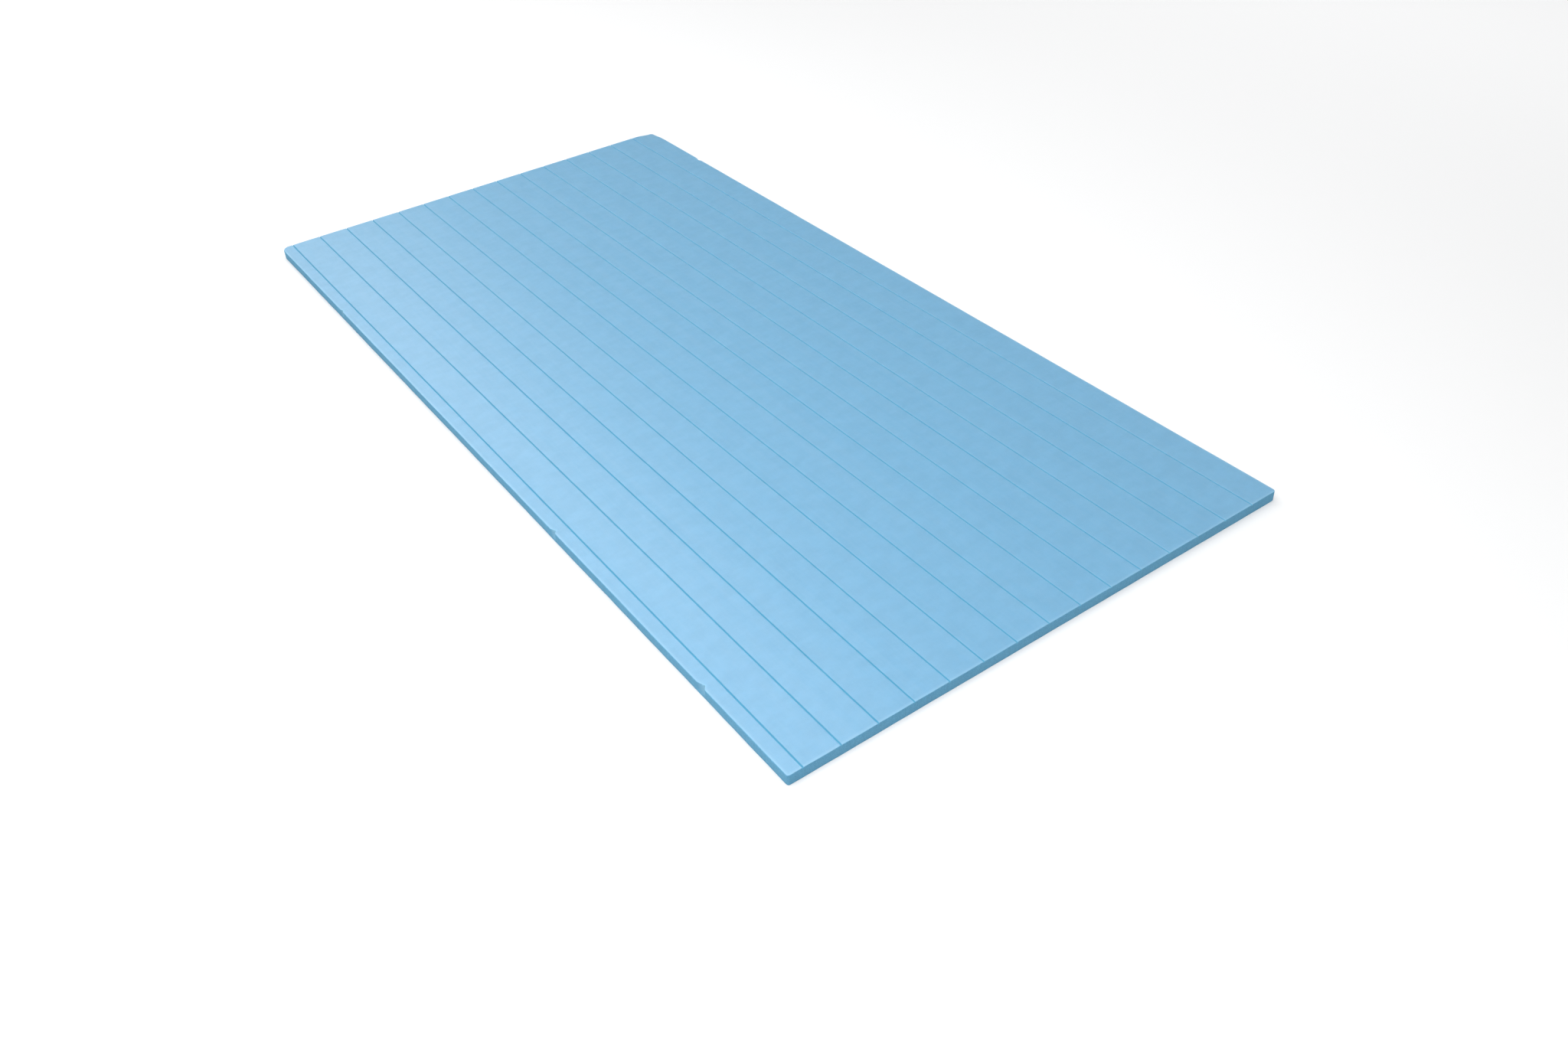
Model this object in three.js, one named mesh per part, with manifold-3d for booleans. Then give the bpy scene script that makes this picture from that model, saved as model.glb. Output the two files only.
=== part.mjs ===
// Extruded polystyrene insulation board: one piece of pale blue closed-cell foam.
// Narrow grooves run the whole length of its top face, its long edges are eased, its corners
// are worn round, and handling has left a few shallow bites in its top edges.
// Millimetres. X runs along the board, Y across it and Z up. The origin is the middle of the
// underside. The back end is at -X, the front end at +X, the left edge at -Y, the right at +Y.
import * as THREE from 'three';
import Module from 'manifold-3d';
import { mergeVertices } from 'three/addons/utils/BufferGeometryUtils.js';

// Board
const boardLength = 1200;
const boardWidth = 600;
const boardThickness = 12;
const longEdgeRadius = 0.8;

// Grooves in the top face, counted from the left edge
const firstGrooveFromLeft = 16;
const groovePitch = 39.1;
const plainStripAtRight = 30;
const grooveWidth = 1.6;
const grooveDepth = 1.2;

// Corner radii seen from above, worn by handling
const frontLeftRadius = 3;
const frontRightRadius = 4;
const backRightRadius = 5;
const backLeftRadius = 12;

// Bites in the top edges: how far from the back end, half their length, how far they reach
// in from the edge, and how deep they go
const leftEdgeBites = [
  { fromBack: 225, halfLength: 4, reach: 2, depth: 8 },
  { fromBack: 798, halfLength: 5, reach: 3, depth: 9 },
  { fromBack: 1071, halfLength: 6.5, reach: 3.5, depth: 9 },
];
const rightEdgeBites = [{ fromBack: 138, halfLength: 6, reach: 2.5, depth: 5 }];

// The crushed back right corner: how far the hollow runs along each edge, and its depth
const crushAlongRight = 35;
const crushAlongBack = 30;
const crushDepth = 2.5;

// A bite's walls belong to an egg-shaped bowl whose middle lies above the top face:
// this is the share of the bowl's own half height that is above it
const bowlShareAbove = 0.8;

// Facets on round shapes
const arcSteps = 3;
const bowlStepsAround = 24;
const bowlStepsDown = 24;

const quarterTurn = Math.PI / 2;
const wasm = await Module();
wasm.setup();

// Turns a closed geometry into a solid that can be joined and cut
function toSolid(geometry) {
  const bare = geometry.clone();
  bare.deleteAttribute('normal');
  bare.deleteAttribute('uv');
  const merged = mergeVertices(bare);
  const mesh = new wasm.Mesh({
    numProp: 3,
    vertProperties: new Float32Array(merged.attributes.position.array),
    triVerts: new Uint32Array(merged.index.array),
  });
  return new wasm.Manifold(mesh);
}

// Turns a solid back into a geometry with flat facets
function toGeometry(solid) {
  const mesh = solid.getMesh();
  const shared = new THREE.BufferGeometry();
  shared.setAttribute('position', new THREE.BufferAttribute(mesh.vertProperties, 3));
  shared.setIndex(new THREE.BufferAttribute(mesh.triVerts, 1));
  const faceted = shared.toNonIndexed();
  faceted.computeVertexNormals();
  return faceted;
}

// Centre lines of the grooves, from the left edge's first one on, for as long as the plain
// strip along the right edge is left
function grooveCentres() {
  const room = boardWidth - firstGrooveFromLeft - plainStripAtRight;
  const count = Math.floor(room / groovePitch) + 1;
  const first = -boardWidth / 2 + firstGrooveFromLeft;
  return Array.from({ length: count }, (_, index) => first + index * groovePitch);
}

// The section across the board, with eased long edges and half-oval grooves in its top
function crossSection() {
  const side = boardWidth / 2;
  const radius = longEdgeRadius;
  const section = new THREE.Shape();
  section.moveTo(-side + radius, 0);
  section.lineTo(side - radius, 0);
  section.absarc(side - radius, radius, radius, -quarterTurn, 0, false);
  section.absarc(side - radius, boardThickness - radius, radius, 0, quarterTurn, false);
  for (const centre of grooveCentres().reverse()) {
    section.absellipse(centre, boardThickness, grooveWidth / 2, grooveDepth, 0, -Math.PI, true);
  }
  section.absarc(-side + radius, boardThickness - radius, radius, quarterTurn, Math.PI, false);
  section.absarc(-side + radius, radius, radius, Math.PI, 3 * quarterTurn, false);
  return section;
}

// The outline seen from above, with its four worn corners
function planOutline() {
  const end = boardLength / 2;
  const side = boardWidth / 2;
  const corners = [
    { x: end, y: side, radius: frontRightRadius, from: 0 },
    { x: -end, y: side, radius: backRightRadius, from: quarterTurn },
    { x: -end, y: -side, radius: backLeftRadius, from: 2 * quarterTurn },
    { x: end, y: -side, radius: frontLeftRadius, from: 3 * quarterTurn },
  ];
  const outline = new THREE.Shape();
  for (const { x, y, radius, from } of corners) {
    const centreX = x - Math.sign(x) * radius;
    const centreY = y - Math.sign(y) * radius;
    outline.absarc(centreX, centreY, radius, from, from + quarterTurn, false);
  }
  return outline;
}

// A bowl that hollows the top face down to a depth under (x, y), where its rim on that face
// reaches out by the two given distances
function bowl(x, y, reachX, reachY, depth) {
  const halfHeight = depth / (1 - bowlShareAbove);
  const rimShare = Math.sqrt(1 - bowlShareAbove ** 2);
  const egg = new THREE.SphereGeometry(1, bowlStepsAround, bowlStepsDown);
  egg.rotateX(quarterTurn);
  egg.scale(reachX / rimShare, reachY / rimShare, halfHeight);
  egg.translate(x, y, boardThickness - depth + halfHeight);
  return toSolid(egg);
}

// All the hollows that handling has left
function damage() {
  const back = -boardLength / 2;
  const side = boardWidth / 2;
  const left = leftEdgeBites.map((bite) =>
    bowl(back + bite.fromBack, -side, bite.halfLength, bite.reach, bite.depth));
  const right = rightEdgeBites.map((bite) =>
    bowl(back + bite.fromBack, side, bite.halfLength, bite.reach, bite.depth));
  const crushedCorner = bowl(back, side, crushAlongRight, crushAlongBack, crushDepth);
  return [...left, ...right, crushedCorner];
}

// The board: the grooved section drawn out along X, kept inside the outline, less the damage
function boardGeometry() {
  const drawn = new THREE.ExtrudeGeometry(crossSection(), {
    depth: boardLength,
    bevelEnabled: false,
    curveSegments: arcSteps,
  });
  drawn.translate(0, 0, -boardLength / 2);
  drawn.rotateX(quarterTurn);
  drawn.rotateZ(quarterTurn);
  const plan = new THREE.ExtrudeGeometry(planOutline(), {
    depth: boardThickness,
    bevelEnabled: false,
    curveSegments: arcSteps,
  });
  const worn = damage().reduce((solid, hollow) => solid.subtract(hollow),
    toSolid(drawn).intersect(toSolid(plan)));
  return toGeometry(worn);
}

const blueFoam = new THREE.MeshStandardMaterial({ color: 0x9cc8e6, roughness: 0.6, metalness: 0 });

const board = new THREE.Mesh(boardGeometry(), blueFoam);
board.name = 'xps_board';

const part = new THREE.Group();
part.name = 'xps_insulation_board';
part.add(board);

export default part;
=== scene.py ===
"""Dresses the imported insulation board: a fine mesh of its grooved, worn foam, its materials,
and a pale studio with the camera at the photograph's angle."""

import math

import bpy
import numpy as np
from bpy.props import FloatProperty, FloatVectorProperty, PointerProperty
from mathutils import Matrix, Vector


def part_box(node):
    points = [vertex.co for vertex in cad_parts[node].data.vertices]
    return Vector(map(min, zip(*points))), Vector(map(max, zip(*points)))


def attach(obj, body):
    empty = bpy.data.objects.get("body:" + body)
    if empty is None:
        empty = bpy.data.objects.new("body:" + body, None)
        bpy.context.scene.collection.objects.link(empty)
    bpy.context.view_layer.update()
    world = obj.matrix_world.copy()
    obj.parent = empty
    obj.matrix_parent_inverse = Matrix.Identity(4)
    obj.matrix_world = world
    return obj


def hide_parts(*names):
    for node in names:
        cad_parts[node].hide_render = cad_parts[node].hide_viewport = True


bl_info = {
    "name": "Foam insulation board",
    "version": (1, 0, 0),
    "blender": (4, 5, 0),
    "location": "View3D > Sidebar > Board",
    "description": "Makes a grooved foam board with its finish, and the studio it is seen in",
    "category": "Add Mesh",
}

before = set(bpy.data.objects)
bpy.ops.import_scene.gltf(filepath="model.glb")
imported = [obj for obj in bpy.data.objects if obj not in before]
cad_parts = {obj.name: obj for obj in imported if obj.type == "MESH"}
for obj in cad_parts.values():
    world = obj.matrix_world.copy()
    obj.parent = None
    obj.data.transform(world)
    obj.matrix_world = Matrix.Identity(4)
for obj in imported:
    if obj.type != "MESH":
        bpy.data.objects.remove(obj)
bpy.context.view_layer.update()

NODE = "xps_board"
MILLIMETRE = 0.001
SENSOR_WIDTH = 36.0

# Size of the marks in the foam along X, Y and Z, in metres
STREAK_SIZE = (0.9, 0.006, 0.02)
MOTTLE_SIZE = (0.014, 0.024, 0.014)
PEEL_SIZE = (0.009, 0.004, 0.004)
SAW_MARK_SIZE = (0.0018, 0.0018, 0.03)

# Number of marks in a metre
GRAIN_SCALE = 900.0
CELL_SCALE = 1100.0
FLOOR_MARK_SCALE = 3.0

# How strongly each kind of mark bleaches the skin, changes its satin or stands out of it
NOISE_MEAN = 0.5
# The entry for the band along the outline is wear and a painted highlight together
BLEACH_AND_HIGHLIGHT = {"everywhere": 0.12, "streaks": 0.28, "grain": 0.16, "rim": 0.22}
SATIN = {"everywhere": 0.86, "mottling": 0.22, "peel": 0.20}
SKIN_RELIEF = {"peel": 0.6, "streaks": 0.35, "grain": 0.12}
CUT_RELIEF = {"cells": 0.9, "saw_marks": 1.3, "grain": 0.5}
RELIEF_DEPTH = 0.00022
# Width of the pale band along the outline, wear and a painted highlight
RIM_WEAR_AND_HIGHLIGHT_WIDTH = 0.004

# Worn corner radii in millimetres, at each corner's signs of X and Y
CORNER_RADII = {(1, -1): 3, (1, 1): 4, (-1, 1): 5, (-1, -1): 12}

# Nicks in the top edges: distance from the back end, sign of Y, half length, reach into
# the board and depth down its side, in millimetres
NICKS = ((225, -1, 4, 2, 8), (798, -1, 5, 3, 10), (1071, -1, 6.5, 3.5, 10), (138, 1, 6, 2.5, 5))

# The crushed back right corner, in millimetres: its reach along X and Y, and its depth
CRUSH_REACH = (35, 30)
CRUSH_DEPTH = 2.5

# Ripples in the skin: turns along X and along Y, in radians a metre, and a phase
RIPPLE_WAVES = ((21, 9, 0.4), (-13, 31, 1.9), (47, 16, 4.1))

# Softboxes: name, place, length and width in metres, and beam in degrees
SOFTBOXES = (
    ("Overhead", (-0.9, -0.27, 1.5), (5.4, 1.8), 180),
    ("Near", (0.7, -0.9, 0.9), (0.8, 0.8), 180),
    ("Side", (-0.2, 1.9, 1.4), (2.8, 1.0), 110),
)


def length_property(name, description, default, **extra):
    """A size in metres, kept to a tenth of a millimetre in the sidebar."""
    return FloatProperty(name=name, description=description, default=default, min=0.0,
                         precision=4, unit="LENGTH", **extra)


def colour_property(name, description, default):
    """A colour with its picker, in linear values."""
    return FloatVectorProperty(name=name, description=description, default=default,
                               subtype="COLOR", min=0.0, max=1.0)


class BoardSizes(bpy.types.PropertyGroup):
    """What a maker would change about the shape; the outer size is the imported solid's."""

    groove_first: length_property(
        "First groove", "Left edge to the first groove's centre line", 0.016)
    groove_pitch: length_property(
        "Groove pitch", "Distance between two grooves' centre lines", 0.0391)
    groove_plain: length_property(
        "Plain strip", "Least width left without grooves along the right edge", 0.030)
    groove_width: length_property(
        "Groove width", "Width of a groove where it opens on the top", 0.0020)
    groove_depth: length_property(
        "Groove depth", "Depth of a groove at its middle", 0.0011)
    edge_radius: length_property(
        "Edge radius", "Rounding along the four long edges", 0.0008)
    end_radius: length_property(
        "End edge radius", "Rounding along the edges of the two ends", 0.0004)
    ripple: length_property(
        "Ripple", "Depth of the long, low ripples in the skin", 0.00015)
    cut_wander: length_property(
        "Cut wander", "How far the saw cuts wander in from a flat face", 0.0003)


class BoardColours(bpy.types.PropertyGroup):
    """The foam's colours."""

    skin: colour_property(
        "Skin", "Smooth extruded skin of the top and the underside", (0.122, 0.323, 0.503))
    cut: colour_property(
        "Cut cells", "Sawn sides and ends, where the cells are open", (0.122, 0.325, 0.490))
    # Painted shade: the grooves' darker colour stands in for the shade inside them
    scored_and_shaded: colour_property(
        "Scored foam", "Pressed foam at the bottom of the grooves", (0.030, 0.298, 0.450))
    torn: colour_property(
        "Torn foam", "Pale cells where a bite has torn the foam", (0.340, 0.560, 0.700))


class StageSettings(bpy.types.PropertyGroup):
    """The studio: floor, lights and camera."""

    floor_colour: colour_property("Floor", "Colour of the floor", (0.62, 0.623, 0.626))
    floor_size: FloatProperty(
        name="Floor size", description="Side of the square floor", default=60.0,
        min=1.0, unit="LENGTH")
    floor_glow: FloatProperty(
        name="Floor glow", description="Brightness that the floor has of its own",
        default=0.22, min=0.0)
    overhead_light: FloatProperty(
        name="Overhead light", description="Brightness of the long softbox over the board",
        default=2.33, min=0.0)
    near_light: FloatProperty(
        name="Near light", description="Brightness of the softbox over the near left corner",
        default=2.8, min=0.0)
    side_light: FloatProperty(
        name="Side light",
        description="Brightness of the narrow-beamed softbox beyond the right edge",
        default=1.0, min=0.0)
    sky_strength: FloatProperty(
        name="Sky", description="Brightness of the even light from all round",
        default=0.30, min=0.0)
    lens: FloatProperty(
        name="Lens", description="Focal length for a 36 mm wide sensor",
        default=30.94, min=1.0, subtype="NONE")
    camera_place: FloatVectorProperty(
        name="Camera", description="Where the camera stands",
        default=(1.2047, -0.6878, 0.8460), subtype="TRANSLATION", unit="LENGTH")
    camera_aim: FloatVectorProperty(
        name="Aim", description="The point that the middle of the picture looks at",
        default=(0.3325, -0.1116, 0.0120), subtype="TRANSLATION", unit="LENGTH")
    camera_roll: FloatProperty(
        name="Roll", description="Turn of the camera about its line of sight",
        default=math.radians(-3.457), subtype="ANGLE")


class Value:
    """A number that varies over the surface. Arithmetic on it adds Math nodes."""

    def __init__(self, recipe, socket):
        self.recipe = recipe
        self.socket = socket

    def math(self, operation, *terms):
        return self.recipe.node("ShaderNodeMath", {"operation": operation},
                                dict(enumerate(terms)))

    def __add__(self, other):
        return self.math("ADD", self, other)

    def __radd__(self, other):
        return self.math("ADD", other, self)

    def __sub__(self, other):
        return self.math("SUBTRACT", self, other)

    def __rsub__(self, other):
        return self.math("SUBTRACT", other, self)

    def __mul__(self, other):
        return self.math("MULTIPLY", self, other)

    def __rmul__(self, other):
        return self.math("MULTIPLY", other, self)

    def __abs__(self):
        return self.math("ABSOLUTE", self)

    def least(self, other):
        return self.math("MINIMUM", self, other)

    def most(self, other):
        return self.math("MAXIMUM", self, other)


class Recipe:
    """The node tree of a material or of the world, built by naming nodes and what goes into them."""

    def __init__(self, owner):
        self.owner = owner
        owner.use_nodes = True
        self.tree = owner.node_tree
        self.tree.nodes.clear()

    def node(self, kind, settings=None, inputs=None, output=0):
        """Adds a node of that type, sets its settings, then fills its sockets with values
        or links, and returns the named output as a Value, if it has any."""
        made = self.tree.nodes.new(kind)
        for name, setting in (settings or {}).items():
            setattr(made, name, setting)
        for name, given in (inputs or {}).items():
            socket = made.inputs[name]
            if isinstance(given, Value):
                self.tree.links.new(given.socket, socket)
            else:
                socket.default_value = given
        return Value(self, made.outputs[output]) if made.outputs else None

    def noise(self, where, scale=1.0, detail=2.0, roughness=0.5):
        """Cloudy noise from 0 to 1 about its mean, at some coordinates."""
        return self.node("ShaderNodeTexNoise", {"noise_dimensions": "3D"},
                         {"Vector": where, "Scale": scale, "Detail": detail,
                          "Roughness": roughness}, "Fac")

    def stretched(self, where, scale):
        """Object coordinates scaled by a different amount along each axis."""
        return self.node("ShaderNodeMapping", {"vector_type": "TEXTURE"},
                         {"Vector": where, "Scale": scale}, "Vector")

    def between(self, value, low, high):
        """0 where value is at or under low, 1 at or over high, and smooth in between."""
        return self.node("ShaderNodeMapRange", {"interpolation_type": "SMOOTHSTEP"},
                         {"Value": value, "From Min": low, "From Max": high}, "Result")

    def mix(self, factor, first, second):
        """Goes from the first colour to the second as factor goes from 0 to 1."""
        return self.node("ShaderNodeMix", {"data_type": "RGBA"},
                         {0: factor, 6: first, 7: second}, 2)

    def attribute(self, name):
        """A number kept for each point of the mesh."""
        return self.node("ShaderNodeAttribute", {"attribute_name": name}, output="Fac")


def shade(colour, factor=1.0, lift=0.0):
    """A colour property times a factor, plus some white, as a four-part value."""
    return (*(part * factor + lift for part in colour), 1.0)


def foam_material(colours, half_length, half_width):
    """Foam with a satin skin. Long die streaks, soft mottling and a fine grain vary the
    skin, the sawn faces show open cells and saw marks, the grooves are darker, which is
    painted shade, nicks are pale, and a band along the outline is paler, which is wear and
    a painted highlight. The satin is a coat, which is gone where the skin has been cut or
    torn and thinner in the grooves."""
    recipe = Recipe(bpy.data.materials.new("Blue foam"))
    place = recipe.node("ShaderNodeTexCoord", output="Object")
    cut = recipe.attribute("cut")
    scored_and_shaded = recipe.attribute("scored_and_shaded")
    torn = recipe.attribute("torn")
    open_foam = cut.most(torn)
    bare = open_foam.most(scored_and_shaded * 0.6)

    streaks = recipe.noise(recipe.stretched(place, STREAK_SIZE), detail=3.0, roughness=0.6)
    mottling = recipe.noise(recipe.stretched(place, MOTTLE_SIZE), detail=4.0, roughness=0.62)
    peel = recipe.noise(recipe.stretched(place, PEEL_SIZE))
    grain = recipe.noise(place, GRAIN_SCALE, roughness=0.6)
    cells = recipe.node("ShaderNodeTexVoronoi", {"feature": "F1"},
                        {"Vector": place, "Scale": CELL_SCALE}, "Distance")
    saw_marks = recipe.noise(recipe.stretched(place, SAW_MARK_SIZE), roughness=0.6)

    lengthwise = recipe.node("ShaderNodeSeparateXYZ", inputs={"Vector": place}, output="X")
    crosswise = recipe.node("ShaderNodeSeparateXYZ", inputs={"Vector": place}, output="Y")
    rim_distance = (half_length - abs(lengthwise)).least(half_width - abs(crosswise))
    rim = 1 - recipe.between(rim_distance, 0.0, RIM_WEAR_AND_HIGHLIGHT_WIDTH)

    skin = recipe.mix(recipe.between(mottling, 0.30, 0.72),
                      shade(colours.skin, 0.96), shade(colours.skin, 1.035))
    bleach = ((streaks - NOISE_MEAN) * BLEACH_AND_HIGHLIGHT["streaks"]
              + (grain - NOISE_MEAN) * BLEACH_AND_HIGHLIGHT["grain"] + BLEACH_AND_HIGHLIGHT["everywhere"])
    skin = recipe.mix(bleach, skin, shade(colours.skin, 0.78, lift=0.17))
    # Wear and a painted highlight: the skin is paled towards the torn colour in a band along the
    # outline
    skin = recipe.mix(rim * (1 - cut) * BLEACH_AND_HIGHLIGHT["rim"], skin, shade(colours.torn))
    # Painted shade: the groove bottoms are darkened towards the groove colour
    skin = recipe.mix(scored_and_shaded * 0.85, skin, shade(colours.scored_and_shaded))

    cell_walls = recipe.between(cells, 0.05, 0.75)
    open_cells = recipe.mix(cell_walls * 0.5 + saw_marks * 0.5,
                            shade(colours.cut, 0.82), shade(colours.cut, 1.18))
    colour = recipe.mix(cut, skin, open_cells)
    colour = recipe.mix(torn * (0.25 + 0.5 * grain), colour, shade(colours.torn))

    roughness = 0.62 + 0.26 * bare + 0.10 * (mottling - NOISE_MEAN)
    satin = (1 - bare) * (SATIN["everywhere"] + SATIN["mottling"] * (mottling - NOISE_MEAN)
                          + SATIN["peel"] * (peel - NOISE_MEAN))

    skin_relief = (peel * SKIN_RELIEF["peel"] + streaks * SKIN_RELIEF["streaks"]
                   + grain * SKIN_RELIEF["grain"])
    cut_relief = (cells * CUT_RELIEF["cells"] + saw_marks * CUT_RELIEF["saw_marks"]
                  + grain * CUT_RELIEF["grain"])
    relief = skin_relief + (cut_relief - skin_relief) * open_foam
    normal = recipe.node("ShaderNodeBump", inputs={
        "Height": relief, "Distance": RELIEF_DEPTH, "Strength": 0.55}, output="Normal")

    shader = recipe.node("ShaderNodeBsdfPrincipled", inputs={
        "Base Color": colour, "Roughness": roughness, "Normal": normal,
        "IOR": 1.45, "Specular IOR Level": 0.12,
        "Coat Weight": satin, "Coat Roughness": 0.34, "Coat IOR": 1.68,
        "Subsurface Weight": 0.35, "Subsurface Radius": (0.45, 0.85, 1.0),
        "Subsurface Scale": 0.004}, output="BSDF")
    recipe.node("ShaderNodeOutputMaterial", inputs={"Surface": shader})
    return recipe.owner


def floor_material(colour, glow):
    """Matt pale floor with the slightest unevenness in its sheen. It glows a little, so
    that it stays pale away from the softboxes."""
    recipe = Recipe(bpy.data.materials.new("Pale floor"))
    place = recipe.node("ShaderNodeTexCoord", output="Object")
    unevenness = recipe.noise(place, FLOOR_MARK_SCALE)
    shader = recipe.node("ShaderNodeBsdfPrincipled", inputs={
        "Base Color": shade(colour), "Roughness": 0.82 + 0.08 * unevenness,
        "Specular IOR Level": 0.25, "Emission Color": (1.0, 1.0, 1.0, 1.0),
        "Emission Strength": glow}, output="BSDF")
    recipe.node("ShaderNodeOutputMaterial", inputs={"Surface": shader})
    return recipe.owner


class Nick:
    """A narrow V that a knock has torn into a top edge. Its reach into the board rises
    slowly from its back end, falls off fast at its front end, and dies out down the side."""

    lean = 0.35

    def __init__(self, x, edge, half_length, reach, depth):
        self.x = x
        self.edge = edge
        self.half_length = half_length
        self.reach = reach
        self.depth = depth

    def along(self, x):
        """Where x is in the V: 0 at its two ends, 1 at its deepest place, which lies
        towards its front end, and straight in between."""
        place = (x - self.x) / self.half_length
        rising = (place + 1) / (1 + self.lean)
        falling = (1 - place) / (1 - self.lean)
        return np.clip(np.minimum(rising, falling), 0, 1)

    def reach_at(self, points, top):
        """How far in the V goes at each point: its reach, times its share along X, times
        the root of the height left above its lower end."""
        down = np.clip(1 - (top - points[..., 2]) / self.depth, 0, 1)
        here = np.sign(points[..., 1]) == self.edge
        return self.reach * self.along(points[..., 0]) * np.sqrt(down) * here


class Board:
    """The board's surface as arrays: a section carried along X from end to end."""

    end_zone = 14 * MILLIMETRE
    end_stations = 11
    station_spacing = 13 * MILLIMETRE
    nick_spacing = 0.6 * MILLIMETRE
    nick_strip = 9 * MILLIMETRE
    density_samples = 4001
    land_points = 3
    arc_points = 3
    side_levels = 7
    groove_offsets = np.array([0.0, 0.25, 0.5, 0.75, 1.0, 1.3])
    edge_offsets = MILLIMETRE * np.array([1.3, 2.0, 3.0, 4.5, 7.0, 10.0])
    right_land_offsets = MILLIMETRE * np.array([16.0, 24.0, 31.0])
    torn_fade = 4
    torn_gain = 1.6

    def __init__(self, sizes, low, high):
        self.sizes = sizes
        self.end = high.x
        self.side = high.y
        self.top = high.z
        self.corner_radii = {signs: radius * MILLIMETRE for signs, radius in CORNER_RADII.items()}
        self.nicks = [
            Nick(low.x + from_back * MILLIMETRE, edge, half_length * MILLIMETRE,
                 reach * MILLIMETRE, depth * MILLIMETRE)
            for from_back, edge, half_length, reach, depth in NICKS
        ]
        self.crush_reach = MILLIMETRE * np.array(CRUSH_REACH)
        self.crush_depth = CRUSH_DEPTH * MILLIMETRE

    def groove_centres(self):
        """The first centre line, then one every pitch while the plain strip is left."""
        sizes = self.sizes
        room = 2 * self.side - sizes.groove_first - sizes.groove_plain
        count = int(room // sizes.groove_pitch) + 1
        return -self.side + sizes.groove_first + sizes.groove_pitch * np.arange(count)

    def groove_share(self, y):
        """How deep a groove is at y, from 0 on the lands to 1 at a centre line: one less
        the square of the distance in half widths, all squared."""
        nearest = np.abs(y[..., None] - self.groove_centres()).min(-1)
        inside = np.clip(1 - (nearest / (self.sizes.groove_width / 2)) ** 2, 0, 1)
        return inside ** 2

    def stations(self):
        """Places along X. Their density is even, with a bell of closer ones about each
        nick, and it is summed up and read back at equal steps. The two end zones have
        stations whose distance from the end grows as the square of their number."""
        reach = self.end - self.end_zone
        fine = np.linspace(-reach, reach, self.density_samples)
        density = np.full_like(fine, 1 / self.station_spacing)
        for nick in self.nicks:
            bell = np.exp(-((fine - nick.x) / nick.half_length) ** 4)
            density += bell / self.nick_spacing
        total = np.concatenate([[0.0], np.cumsum((density[1:] + density[:-1]) / 2)])
        total *= fine[1] - fine[0]
        inner = np.interp(np.linspace(0, total[-1], int(total[-1]) + 2), total, fine)
        inset = self.end_zone * np.linspace(0, 1, self.end_stations) ** 2
        front = (self.end - inset)[::-1]
        return np.concatenate([-front[::-1][:-1], inner, front[1:]])

    def across(self):
        """Places along Y on the top and the underside: close at the edges and over each
        groove, and a few on every land. Places that coincide to a nanometre are one."""
        half = self.sizes.groove_width / 2
        offsets = half * self.groove_offsets
        offsets = np.concatenate([-offsets[:0:-1], offsets])
        centres = self.groove_centres()
        grooves = (centres[:, None] + offsets).ravel()
        shares = np.arange(1, self.land_points + 1) / (self.land_points + 1)
        lands = (centres[:-1, None] + (centres[1:] - centres[:-1])[:, None] * shares).ravel()
        radius = self.sizes.edge_radius
        turns = np.linspace(0, math.pi / 4, self.arc_points)
        rounding = radius * (1 - np.sin(turns))
        inward = np.concatenate([rounding, self.edge_offsets])
        right = self.side - np.concatenate([inward, self.right_land_offsets])
        left = -self.side + inward
        return np.unique(np.concatenate([left, grooves, lands, right]).round(9))

    def section(self):
        """The closed section's y, z and cut mask, from the top's left corner to its right
        one, down the right side, back along the underside and up the left side, with the
        number of points along the top and down a side. The rounded edges are quarter
        circles, and the grooves are taken off the top afterwards."""
        radius = self.sizes.edge_radius
        y_row = self.across()
        over = np.clip(np.abs(y_row) - (self.side - radius), 0, radius)
        drop = radius - np.sqrt(radius ** 2 - over ** 2)
        turns = np.linspace(math.pi / 4, 0, self.arc_points)[1:]
        arc = self.top - radius + radius * np.sin(turns)
        flat = np.linspace(self.top - radius, radius, self.side_levels + 2)[1:-1]
        z_column = np.concatenate([arc, flat, (self.top - arc)[::-1]])
        above = np.clip(np.abs(z_column - self.top / 2) - (self.top / 2 - radius), 0, radius)
        y_column = self.side - radius + np.sqrt(radius ** 2 - above ** 2)
        y = np.concatenate([y_row, y_column, y_row[::-1], -y_column[::-1]])
        z = np.concatenate([self.top - drop, z_column, drop[::-1], z_column[::-1]])
        cut_row = over / radius
        cut_column = np.ones_like(z_column)
        cut = np.concatenate([cut_row, cut_column, cut_row[::-1], cut_column])
        return y, z, cut, len(y_row), len(z_column)

    def side_limit(self, x, corner_x, corner_y):
        """How far out the edge is at x: the side, less a quarter circle at the corner."""
        radius = self.corner_radii[corner_x, corner_y]
        over = np.clip(corner_x * x - (self.end - radius), 0, radius)
        return self.side - radius + np.sqrt(radius ** 2 - over ** 2)

    def wear_corners(self, points):
        """Draws the outermost strip in to the worn outline, in proportion."""
        x, y = points[..., 0], points[..., 1]
        inner = self.side - self.end_zone
        for corner_x, corner_y in self.corner_radii:
            here = (np.sign(x) == corner_x) & (corner_y * y > inner)
            limit = self.side_limit(x, corner_x, corner_y)
            share = (corner_y * y - inner) / self.end_zone
            y[here] = (corner_y * (inner + share * (limit - inner)))[here]

    def ease_ends(self, points):
        """Shrinks the last sections about their middle, by a quarter circle's height."""
        radius = self.sizes.end_radius
        x, y, z = points[..., 0], points[..., 1], points[..., 2]
        over = np.clip(np.abs(x) - (self.end - radius), 0, radius)
        inset = radius - np.sqrt(radius ** 2 - over ** 2)
        points[..., 1] = y * (1 - inset / self.side)
        points[..., 2] = self.top / 2 + (z - self.top / 2) * (1 - 2 * inset / self.top)

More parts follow.
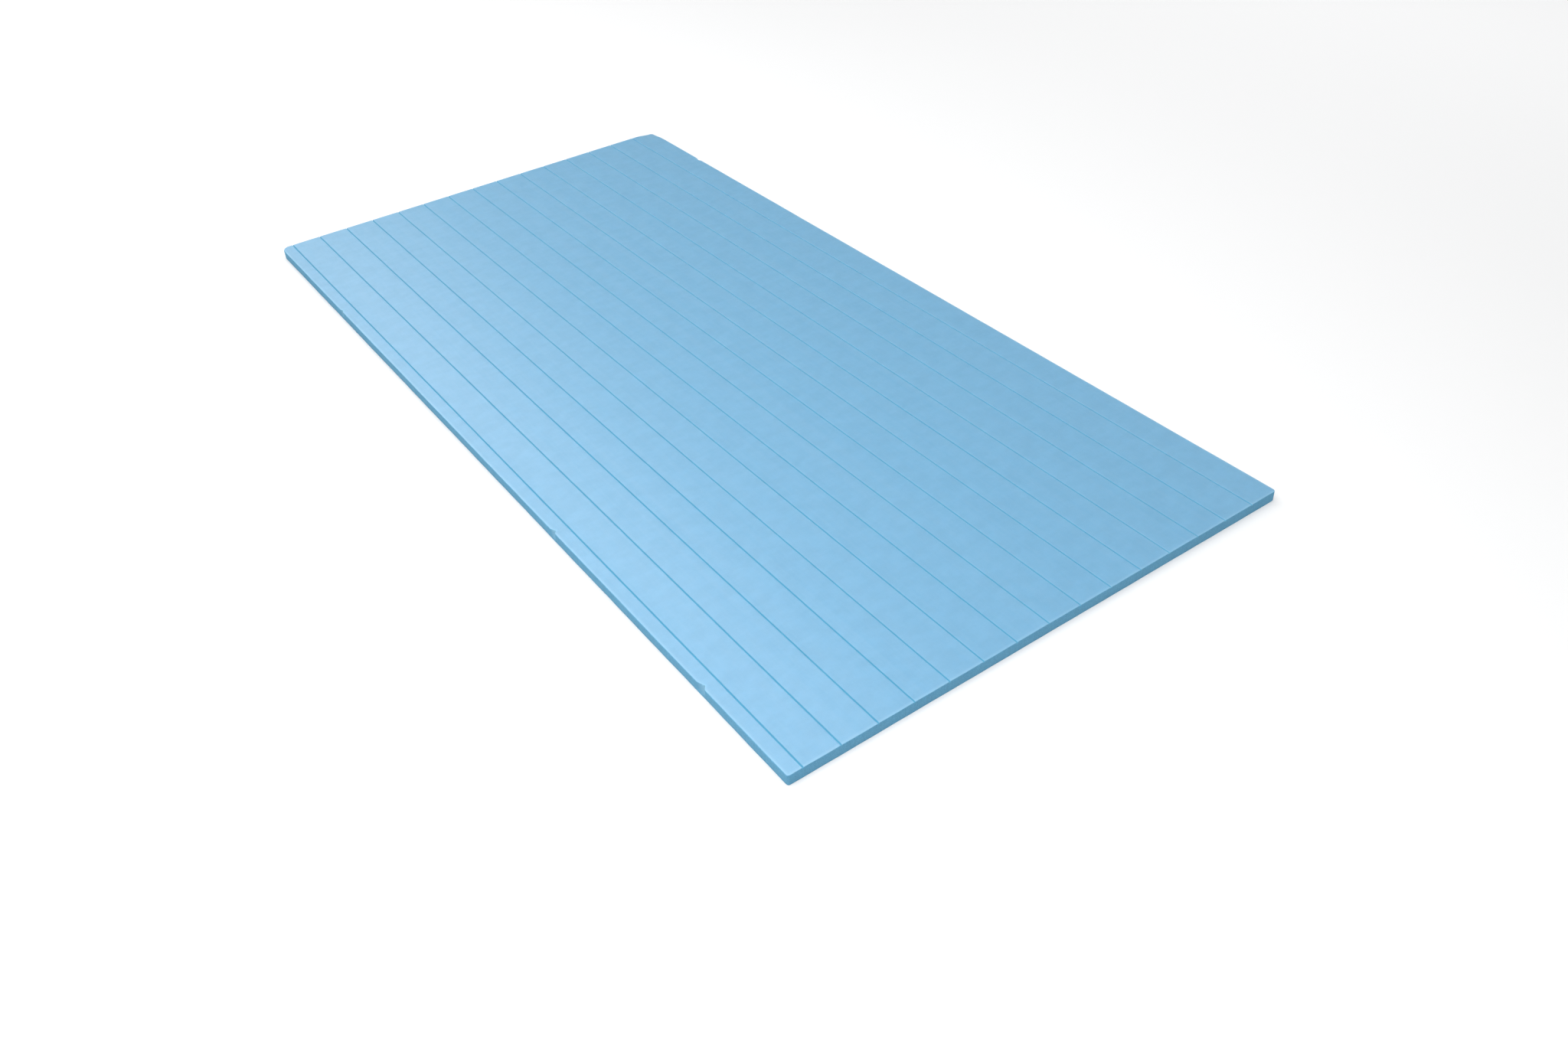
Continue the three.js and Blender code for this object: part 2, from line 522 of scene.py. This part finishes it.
    def cut_grooves(self, points):
        """Sinks the grooves: every height is scaled by what the groove leaves of the board,
        so the underside stays flat and the ends follow the grooves."""
        share = self.groove_share(points[..., 1])
        points[..., 2] *= 1 - share * self.sizes.groove_depth / self.top

    @staticmethod
    def wander(along, height, slow, phase, fast, rise):
        """From 0 to 1 along a saw cut: the sum of a slow cosine and a fast one whose
        waves lean with the height."""
        return (0.5 + 0.25 * np.cos(slow * along + phase)
                + 0.25 * np.cos(fast * along + rise * height))

    def ripple(self, points):
        """Sinks the top by low ripples, the mean of three crossing cosines, and draws the
        sawn faces in by the slow wander of the cut, so nothing leaves the solid's box."""
        x, y, z = (points[..., axis].copy() for axis in range(3))
        waves = sum(np.cos(along * x + across * y + phase)
                    for along, across, phase in RIPPLE_WAVES) / len(RIPPLE_WAVES)
        points[..., 2] -= self.sizes.ripple * (0.5 + 0.5 * waves) * z / self.top
        outer = np.clip((np.abs(y) - self.side) / self.sizes.edge_radius + 1, 0, 1)
        side_wander = self.wander(x, z, 38, 1.1, 143, 260)
        points[..., 1] -= np.sign(y) * outer * self.sizes.cut_wander * side_wander
        last = np.clip((np.abs(x) - self.end) / self.sizes.end_radius + 1, 0, 1)
        end_wander = self.wander(y, z, 41, 0.3, 167, 240)
        points[..., 0] -= np.sign(x) * last * self.sizes.cut_wander * end_wander

    def crush_corner(self, points):
        """Presses the back right corner down, and the sides with it: the press is one less
        the square of the distance from the corner, in reaches, all squared."""
        corner = np.array([-self.end, self.side])
        away = (points[..., :2] - corner) / self.crush_reach
        press = np.clip(1 - (away ** 2).sum(-1), 0, 1) ** 2
        points[..., 2] *= 1 - press * self.crush_depth / self.top

    def cut_nicks(self, points):
        """Draws the outermost strip in by each nick's reach, in proportion. Returns how
        torn each point is, from 0 to 1."""
        torn = np.zeros(points.shape[:-1])
        for nick in self.nicks:
            reach = nick.reach_at(points, self.top)
            y = points[..., 1]
            share = np.clip((nick.edge * y - self.side) / self.nick_strip + 1, 0, 1)
            points[..., 1] = y - nick.edge * reach * share
            torn += reach / nick.reach * share ** self.torn_fade
        return np.clip(self.torn_gain * torn, 0, 1)

    @staticmethod
    def end_cap(ring, row, column, first_new):
        """The numbers of the points over one end, as a grid. Its border is the loop of
        the last section, and the points inside it are numbered from first_new on."""
        cap = np.empty((row, column + 2), int)
        cap[:, 0] = ring[:row]
        cap[:, -1] = ring[row + column:2 * row + column][::-1]
        cap[-1, 1:-1] = ring[row:row + column]
        cap[0, 1:-1] = ring[2 * row + column:][::-1]
        cap[1:-1, 1:-1] = first_new + np.arange((row - 2) * column).reshape(row - 2, column)
        return cap

    def surface(self):
        """All points, quads and the three masks: the sections' grid closed round the
        loop, and at each end a grid between the top row and the underside's row."""
        x = self.stations()
        y, z, cut, row, column = self.section()
        loop = len(y)
        body = np.empty((len(x), loop, 3))
        body[..., 0] = x[:, None]
        body[..., 1] = y
        body[..., 2] = z
        grid = np.arange(len(x) * loop).reshape(len(x), loop)
        nxt = np.roll(grid, -1, axis=1)
        quads = [np.stack([grid[:-1], grid[1:], nxt[1:], nxt[:-1]], -1).reshape(-1, 4)]
        clouds = [body.reshape(-1, 3)]
        cuts = [np.broadcast_to(cut, (len(x), loop)).ravel()]
        first_new = grid.size
        for station, facing in ((0, -1), (-1, 1)):
            cap = self.end_cap(grid[station], row, column, first_new)
            inside = np.empty((row - 2, column, 3))
            inside[..., 0] = x[station]
            inside[..., 1] = y[1:row - 1, None]
            inside[..., 2] = z[row:row + column]
            clouds.append(inside.reshape(-1, 3))
            cuts.append(np.ones((row - 2) * column))
            first_new += (row - 2) * column
            corners = [cap[:-1, :-1], cap[1:, :-1], cap[1:, 1:], cap[:-1, 1:]]
            quads.append(np.stack(corners[::-facing], -1).reshape(-1, 4))
        points = np.concatenate(clouds)
        cut_mask = np.concatenate(cuts)
        cut_mask[grid[[0, -1]].ravel()] = 1.0
        top_side = points[:, 2] > self.top / 2
        # Where the grooves are: a thinner, rougher coat there, and painted shade in the colour
        scored_and_shaded = self.groove_share(points[:, 1]) * top_side * (1 - cut_mask)
        self.cut_grooves(points)
        self.ease_ends(points)
        self.wear_corners(points)
        self.ripple(points)
        self.crush_corner(points)
        torn = self.cut_nicks(points)
        return points, np.concatenate(quads), {"cut": cut_mask, "scored_and_shaded": scored_and_shaded, "torn": torn}


def mesh_object(name, points, quads, masks, material):
    """A smooth-shaded mesh object at the origin, with a number for each point and mask."""
    mesh = bpy.data.meshes.new(name)
    mesh.vertices.add(len(points))
    mesh.vertices.foreach_set("co", points.astype(np.float32).ravel())
    mesh.loops.add(quads.size)
    mesh.loops.foreach_set("vertex_index", quads.astype(np.int32).ravel())
    mesh.polygons.add(len(quads))
    mesh.polygons.foreach_set("loop_start", np.arange(0, quads.size, 4, dtype=np.int32))
    mesh.polygons.foreach_set("use_smooth", np.ones(len(quads), bool))
    mesh.update(calc_edges=True)
    for mask, values in masks.items():
        attribute = mesh.attributes.new(mask, "FLOAT", "POINT")
        attribute.data.foreach_set("value", values.astype(np.float32))
    mesh.validate()
    mesh.materials.append(material)
    made = bpy.data.objects.new(name, mesh)
    bpy.context.scene.collection.objects.link(made)
    return made


class BOARD_OT_make_board(bpy.types.Operator):
    """Make the foam board: grooved top, eased edges, worn corners and bites"""

    bl_idname = "board.make_board"
    bl_label = "Make board"

    def execute(self, context):
        low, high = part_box(NODE)
        board = Board(context.scene.board_sizes, low, high)
        material = foam_material(context.scene.board_colours, high.x, high.y)
        made = mesh_object("foam_board", *board.surface(), material)
        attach(made, "root")
        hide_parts(NODE)
        return {"FINISHED"}


class BOARD_OT_make_stage(bpy.types.Operator):
    """Make the studio: pale floor, soft light from above, and the camera"""

    bl_idname = "board.make_stage"
    bl_label = "Make stage"

    def execute(self, context):
        stage = context.scene.board_stage
        self.make_floor(stage)
        self.make_lights(context.scene, stage)
        self.make_camera(context.scene, stage)
        return {"FINISHED"}

    def make_floor(self, stage):
        """One flat square under the board."""
        half = stage.floor_size / 2
        points = np.array([[-half, -half, 0], [half, -half, 0], [half, half, 0], [-half, half, 0]])
        floor = mesh_object("floor", points, np.array([[0, 1, 2, 3]]), {},
                            floor_material(stage.floor_colour, stage.floor_glow))

    def make_lights(self, scene, stage):
        """Three softboxes hung level above the floor, and an even sky."""
        brightnesses = (stage.overhead_light, stage.near_light, stage.side_light)
        for (name, place, (length, width), beam), brightness in zip(SOFTBOXES, brightnesses):
            light = bpy.data.lights.new(name, "AREA")
            light.shape = "RECTANGLE"
            light.size = length
            light.size_y = width
            light.spread = math.radians(beam)
            light.energy = brightness * math.pi * length * width
            lamp = bpy.data.objects.new(name, light)
            lamp.location = place
            lamp.visible_camera = False
            scene.collection.objects.link(lamp)
        scene.world = bpy.data.worlds.new("Studio")
        sky = Recipe(scene.world)
        background = sky.node("ShaderNodeBackground", inputs={
            "Color": (1.0, 1.0, 1.0, 1.0), "Strength": stage.sky_strength}, output="Background")
        sky.node("ShaderNodeOutputWorld", inputs={"Surface": background})

    def make_camera(self, scene, stage):
        """Looks from its place to its aim, then rolls about that line."""
        camera = bpy.data.cameras.new("Camera")
        camera.sensor_width = SENSOR_WIDTH
        camera.lens = stage.lens
        made = bpy.data.objects.new("Camera", camera)
        place = Vector(stage.camera_place)
        forward = (Vector(stage.camera_aim) - place).normalized()
        level = forward.to_track_quat("-Z", "Y").to_matrix().to_4x4()
        made.matrix_world = (Matrix.Translation(place) @ level
                             @ Matrix.Rotation(stage.camera_roll, 4, "Z"))
        scene.collection.objects.link(made)
        scene.camera = made
        scene.view_settings.view_transform = "Standard"


class BOARD_PT_panel(bpy.types.Panel):
    """Sizes, colours and the studio, with a button for each thing to make"""

    bl_idname = "BOARD_PT_panel"
    bl_label = "Foam board"
    bl_space_type = "VIEW_3D"
    bl_region_type = "UI"
    bl_category = "Board"

    def draw(self, context):
        groups = (context.scene.board_sizes, context.scene.board_colours,
                  context.scene.board_stage)
        for group in groups:
            box = self.layout.box()
            for name in group.__annotations__:
                box.prop(group, name)
        self.layout.operator(BOARD_OT_make_board.bl_idname)
        self.layout.operator(BOARD_OT_make_stage.bl_idname)


CLASSES = (BoardSizes, BoardColours, StageSettings, BOARD_OT_make_board,
           BOARD_OT_make_stage, BOARD_PT_panel)


def register():
    for each in CLASSES:
        bpy.utils.register_class(each)
    bpy.types.Scene.board_sizes = PointerProperty(type=BoardSizes)
    bpy.types.Scene.board_colours = PointerProperty(type=BoardColours)
    bpy.types.Scene.board_stage = PointerProperty(type=StageSettings)


def unregister():
    del bpy.types.Scene.board_stage
    del bpy.types.Scene.board_colours
    del bpy.types.Scene.board_sizes
    for each in reversed(CLASSES):
        bpy.utils.unregister_class(each)


def main():
    register()
    bpy.ops.board.make_board()
    bpy.ops.board.make_stage()


if __name__ == "__main__":
    main()
